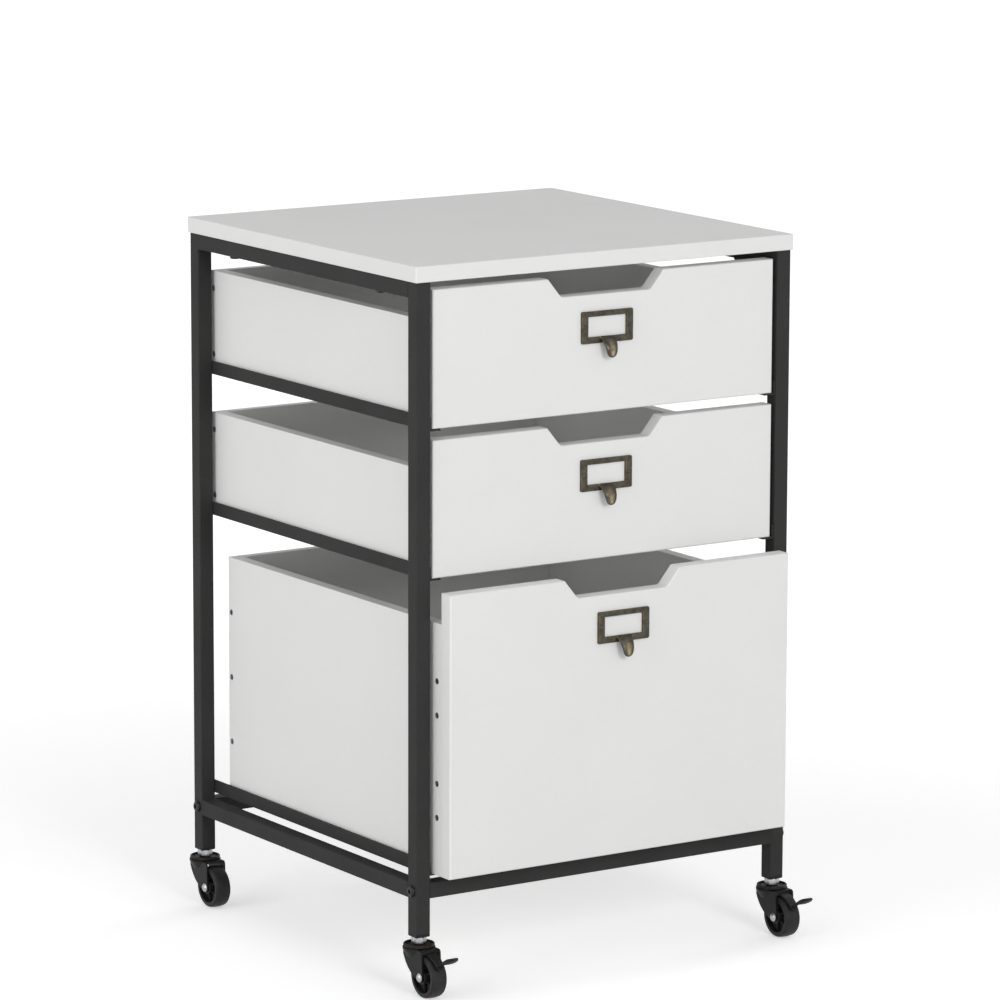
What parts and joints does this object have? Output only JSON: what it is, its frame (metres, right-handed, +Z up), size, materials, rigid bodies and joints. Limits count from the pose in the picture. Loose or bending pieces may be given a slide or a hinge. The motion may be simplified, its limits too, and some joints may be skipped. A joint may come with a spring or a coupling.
{
  "type": "rolling drawer cart",
  "caption": "Black square-tube steel drawer cart on swivel casters, with a white top, pull-out drawers on angle runners, notched fronts and label-frame pulls.",
  "frame": {"origin": "on the floor, under the middle of the frame's four posts", "axes": "+X to the right along the front, +Y to the rear, +Z up"},
  "size_m": [0.4304, 0.4679, 0.675],
  "materials": {
    "white_board": "smooth white painted board",
    "bottom_board": "thin white-faced hardboard",
    "black_steel": "fine charcoal-black powder coat",
    "bolt_steel": "black-coated steel bolt",
    "zinc_steel": "bright zinc-plated steel",
    "black_plastic": "moulded black plastic",
    "antique_brass": "dark antique brass with rubbed edges",
    "caster_steel": "black painted pressed steel",
    "wheel_plastic": "hard charcoal wheel, slightly dusty"
  },
  "bodies": {
    "frame": {"top_panel": "white_board", "front_left_post": "black_steel", "front_right_post": "black_steel", "rear_left_post": "black_steel", "rear_right_post": "black_steel", "left_top_rail": "black_steel", "right_top_rail": "black_steel", "left_lower_rail": "black_steel", "right_lower_rail": "black_steel", "front_cross_rail": "black_steel", "rear_cross_rail": "black_steel", "top_runners": "black_steel", "middle_runners": "black_steel", "bottom_runners": "black_steel", "frame_bolts": "bolt_steel", "top_screws": "bolt_steel", "leg_inserts": "black_plastic", "caster_stems": "zinc_steel"},
    "top_drawer": {"top_drawer_front": "white_board", "top_drawer_box_front": "white_board", "top_drawer_left_side": "white_board", "top_drawer_right_side": "white_board", "top_drawer_back": "white_board", "top_drawer_bottom": "bottom_board", "top_drawer_screws": "zinc_steel", "top_label_pull": "antique_brass", "top_label_pins": "antique_brass"},
    "middle_drawer": {"middle_drawer_front": "white_board", "middle_drawer_box_front": "white_board", "middle_drawer_left_side": "white_board", "middle_drawer_right_side": "white_board", "middle_drawer_back": "white_board", "middle_drawer_bottom": "bottom_board", "middle_drawer_screws": "zinc_steel", "middle_label_pull": "antique_brass", "middle_label_pins": "antique_brass"},
    "bottom_drawer": {"bottom_drawer_front": "white_board", "bottom_drawer_box_front": "white_board", "bottom_drawer_left_side": "white_board", "bottom_drawer_right_side": "white_board", "bottom_drawer_back": "white_board", "bottom_drawer_bottom": "bottom_board", "bottom_drawer_screws": "zinc_steel", "bottom_label_pull": "antique_brass", "bottom_label_pins": "antique_brass"},
    "front_left_caster": {"front_left_fork": "caster_steel", "front_left_axle": "zinc_steel"},
    "front_left_roller": {"front_left_wheel": "wheel_plastic"},
    "front_left_brake": {"front_left_brake_lever": "caster_steel"},
    "front_right_caster": {"front_right_fork": "caster_steel", "front_right_axle": "zinc_steel"},
    "front_right_roller": {"front_right_wheel": "wheel_plastic"},
    "front_right_brake": {"front_right_brake_lever": "caster_steel"},
    "rear_left_caster": {"rear_left_fork": "caster_steel", "rear_left_axle": "zinc_steel"},
    "rear_left_roller": {"rear_left_wheel": "wheel_plastic"},
    "rear_right_caster": {"rear_right_fork": "caster_steel", "rear_right_axle": "zinc_steel"},
    "rear_right_roller": {"rear_right_wheel": "wheel_plastic"}
  },
  "joints": [
    {"name": "top_drawer_slide", "type": "slide", "parent": "frame", "child": "top_drawer", "axis": [0, -1, 0], "range_m": [0, 0.2]},
    {"name": "middle_drawer_slide", "type": "slide", "parent": "frame", "child": "middle_drawer", "axis": [0, -1, 0], "range_m": [0, 0.2]},
    {"name": "bottom_drawer_slide", "type": "slide", "parent": "frame", "child": "bottom_drawer", "axis": [0, -1, 0], "range_m": [-0.03, 0.17]},
    {"name": "front_left_swivel", "type": "hinge", "parent": "frame", "child": "front_left_caster", "pos_m": [-0.2, -0.1945, 0.044], "axis": [0, 0, 1], "continuous": true},
    {"name": "front_left_roll", "type": "hinge", "parent": "front_left_caster", "child": "front_left_roller", "pos_m": [-0.2, -0.2115, 0.02], "axis": [1, 0, 0], "continuous": true},
    {"name": "front_left_brake_press", "type": "hinge", "parent": "front_left_caster", "child": "front_left_brake", "pos_m": [-0.2, -0.2123, 0.0414], "axis": [1, 0, 0], "range_deg": [0, 6.5]},
    {"name": "front_right_swivel", "type": "hinge", "parent": "frame", "child": "front_right_caster", "pos_m": [0.2, -0.1945, 0.044], "axis": [0, 0, 1], "continuous": true},
    {"name": "front_right_roll", "type": "hinge", "parent": "front_right_caster", "child": "front_right_roller", "pos_m": [0.2, -0.2115, 0.02], "axis": [1, 0, 0], "continuous": true},
    {"name": "front_right_brake_press", "type": "hinge", "parent": "front_right_caster", "child": "front_right_brake", "pos_m": [0.2, -0.2123, 0.0414], "axis": [1, 0, 0], "range_deg": [0, 6.5]},
    {"name": "rear_left_swivel", "type": "hinge", "parent": "frame", "child": "rear_left_caster", "pos_m": [-0.2, 0.1945, 0.044], "axis": [0, 0, 1], "continuous": true},
    {"name": "rear_left_roll", "type": "hinge", "parent": "rear_left_caster", "child": "rear_left_roller", "pos_m": [-0.2, 0.1775, 0.02], "axis": [1, 0, 0], "continuous": true},
    {"name": "rear_right_swivel", "type": "hinge", "parent": "frame", "child": "rear_right_caster", "pos_m": [0.2, 0.1945, 0.044], "axis": [0, 0, 1], "continuous": true},
    {"name": "rear_right_roll", "type": "hinge", "parent": "rear_right_caster", "child": "rear_right_roller", "pos_m": [0.2, 0.1775, 0.02], "axis": [1, 0, 0], "continuous": true}
  ]
}
